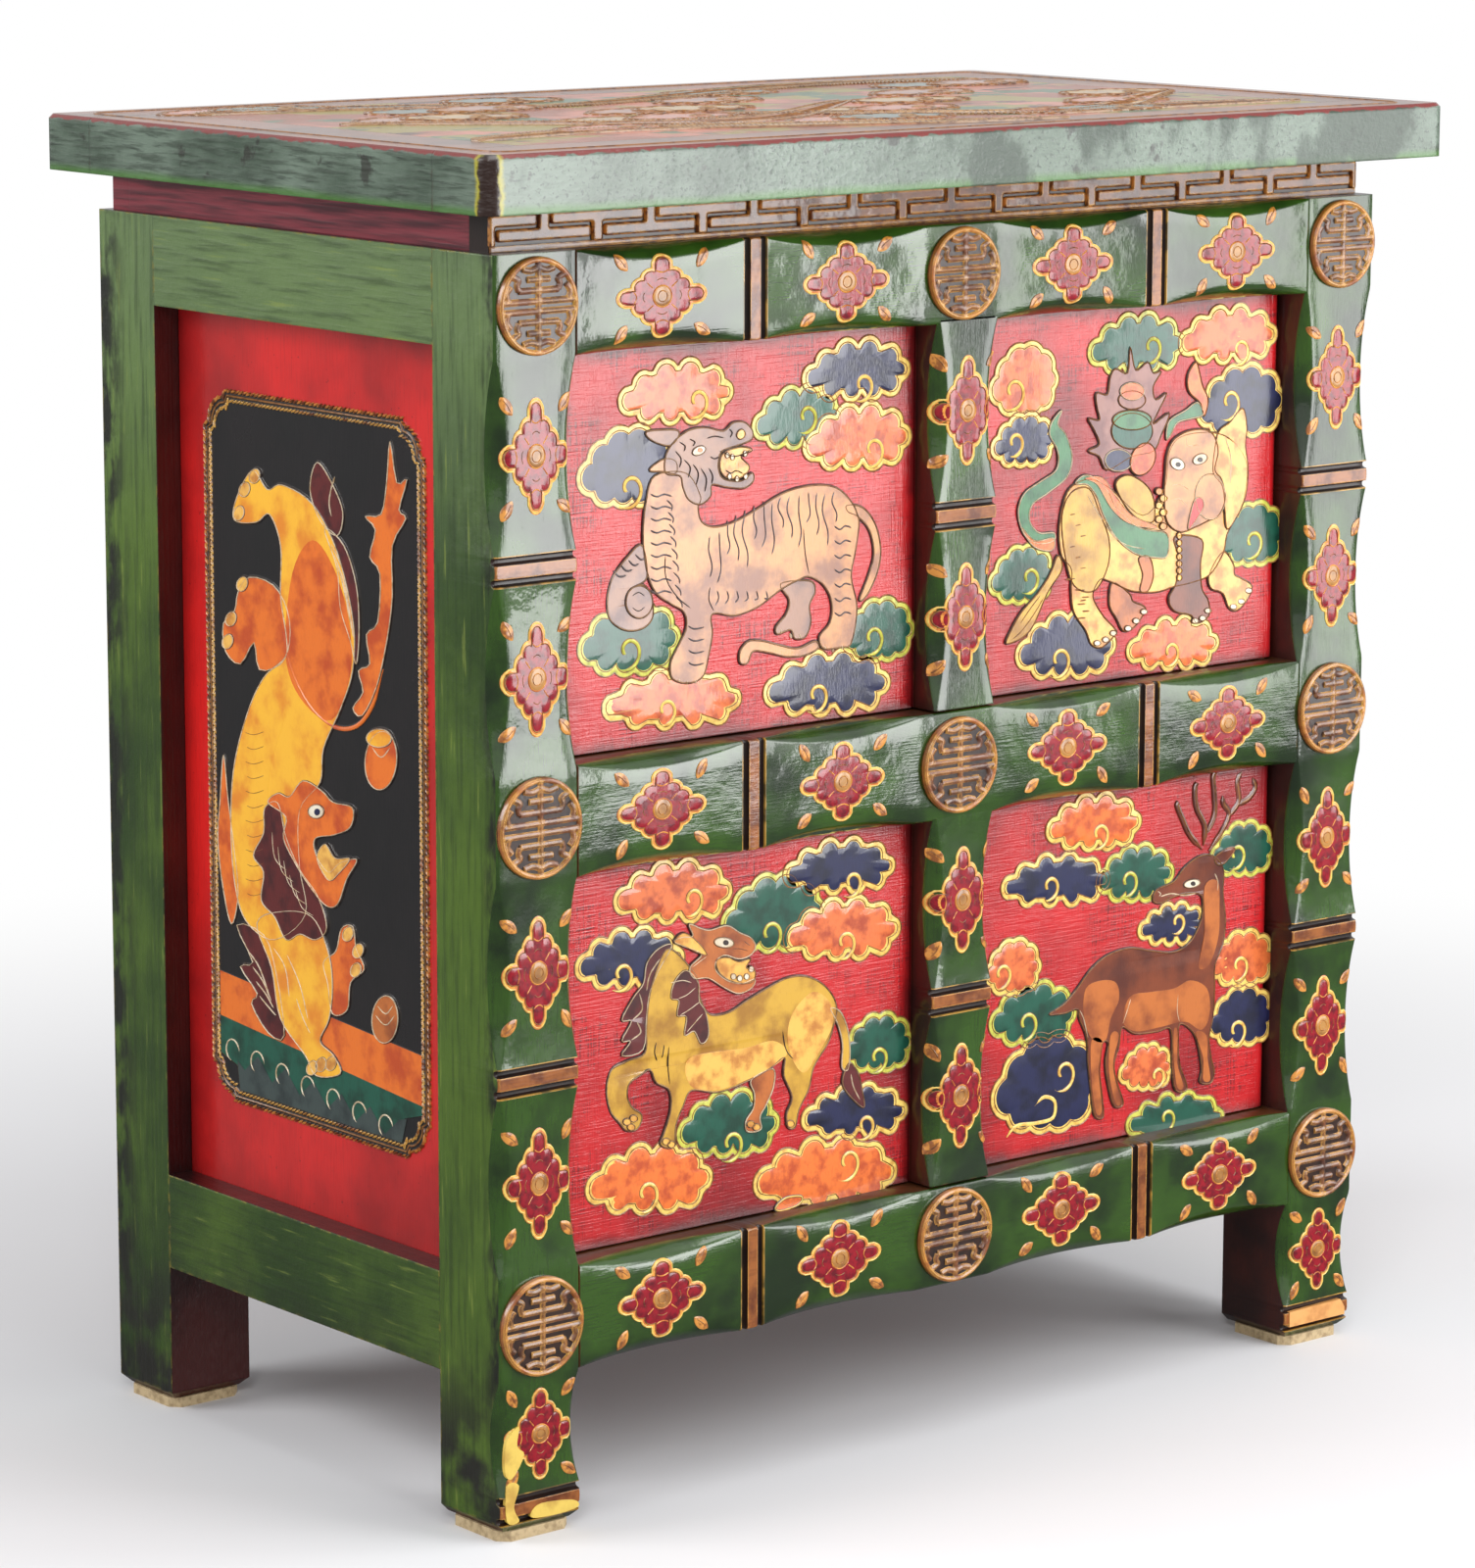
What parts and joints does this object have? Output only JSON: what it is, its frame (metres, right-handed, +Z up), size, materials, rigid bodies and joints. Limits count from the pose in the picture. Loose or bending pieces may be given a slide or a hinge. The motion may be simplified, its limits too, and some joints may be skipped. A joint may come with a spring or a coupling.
{
  "type": "painted cabinet",
  "caption": "Small low painted cabinet on square legs: bamboo-carved post and rail front, hinged red picture doors in tiers, recessed fret waist and overhanging framed top.",
  "frame": {"origin": "bottom centre of the whole cabinet, on the floor under its feet", "axes": "+X to the viewer's right when facing the doors, -Y out of the front, +Z up"},
  "size_m": [0.596, 0.353, 0.636],
  "materials": {
    "green_lacquer": "glossy dark green lacquer over carved wood, worn to yellow and brown at the edges",
    "red_lacquer": "glossy mottled red lacquer with painted figures and clouds in raised outline",
    "copper_paint": "carved wood painted copper brown, rubbed to gold on the high edges",
    "waist_paint": "worn maroon paint; the front is carved with a gold-edged key fret",
    "top_edge_lacquer": "grey green lacquer with brushed grain, dark worn corners and a red line along the upper edge",
    "top_paint": "painted field of scrolls and serrated ridges under gloss varnish",
    "bare_wood": "dark reddish brown stained wood",
    "felt": "beige felt foot pads"
  },
  "bodies": {
    "carcass": {"front_left_post": "green_lacquer", "front_right_post": "green_lacquer", "rear_left_post": "green_lacquer", "rear_right_post": "green_lacquer", "front_bottom_rail": "green_lacquer", "front_middle_rail": "green_lacquer", "front_top_rail": "green_lacquer", "left_side_bottom_rail": "green_lacquer", "left_side_top_rail": "green_lacquer", "right_side_bottom_rail": "green_lacquer", "right_side_top_rail": "green_lacquer", "rear_bottom_rail": "bare_wood", "rear_top_rail": "bare_wood", "back_panel": "bare_wood", "floor_board": "bare_wood", "shelf_board": "bare_wood", "left_shelf_runner": "bare_wood", "right_shelf_runner": "bare_wood", "left_side_panel": "red_lacquer", "right_side_panel": "red_lacquer", "front_waist_board": "waist_paint", "rear_waist_board": "waist_paint", "left_waist_board": "waist_paint", "right_waist_board": "waist_paint", "top_front_member": "top_edge_lacquer", "top_rear_member": "top_edge_lacquer", "top_left_member": "top_edge_lacquer", "top_right_member": "top_edge_lacquer", "top_panel": "top_paint", "bottom_rail_medallions": "copper_paint", "middle_rail_medallions": "copper_paint", "top_rail_medallions": "copper_paint", "front_left_foot_pad": "felt", "front_right_foot_pad": "felt", "rear_left_foot_pad": "felt", "rear_right_foot_pad": "felt"},
    "lower_left_door": {"lower_left_door_panel": "red_lacquer", "lower_left_door_pivots": "bare_wood"},
    "lower_right_door": {"lower_right_door_panel": "red_lacquer", "lower_right_door_mullion": "green_lacquer", "lower_right_door_pivots": "bare_wood"},
    "upper_left_door": {"upper_left_door_panel": "red_lacquer", "upper_left_door_pivots": "bare_wood"},
    "upper_right_door": {"upper_right_door_panel": "red_lacquer", "upper_right_door_mullion": "green_lacquer", "upper_right_door_pivots": "bare_wood"}
  },
  "joints": [
    {"name": "lower_left_door_hinge", "type": "hinge", "parent": "carcass", "child": "lower_left_door", "pos_m": [-0.222, -0.1285, 0.2175], "axis": [0, 0, -1], "range_deg": [0, 90]},
    {"name": "lower_right_door_hinge", "type": "hinge", "parent": "carcass", "child": "lower_right_door", "pos_m": [0.222, -0.1285, 0.2175], "axis": [0, 0, 1], "range_deg": [0, 90]},
    {"name": "upper_left_door_hinge", "type": "hinge", "parent": "carcass", "child": "upper_left_door", "pos_m": [-0.222, -0.1285, 0.4525], "axis": [0, 0, -1], "range_deg": [0, 90]},
    {"name": "upper_right_door_hinge", "type": "hinge", "parent": "carcass", "child": "upper_right_door", "pos_m": [0.222, -0.1285, 0.4525], "axis": [0, 0, 1], "range_deg": [0, 90]}
  ]
}
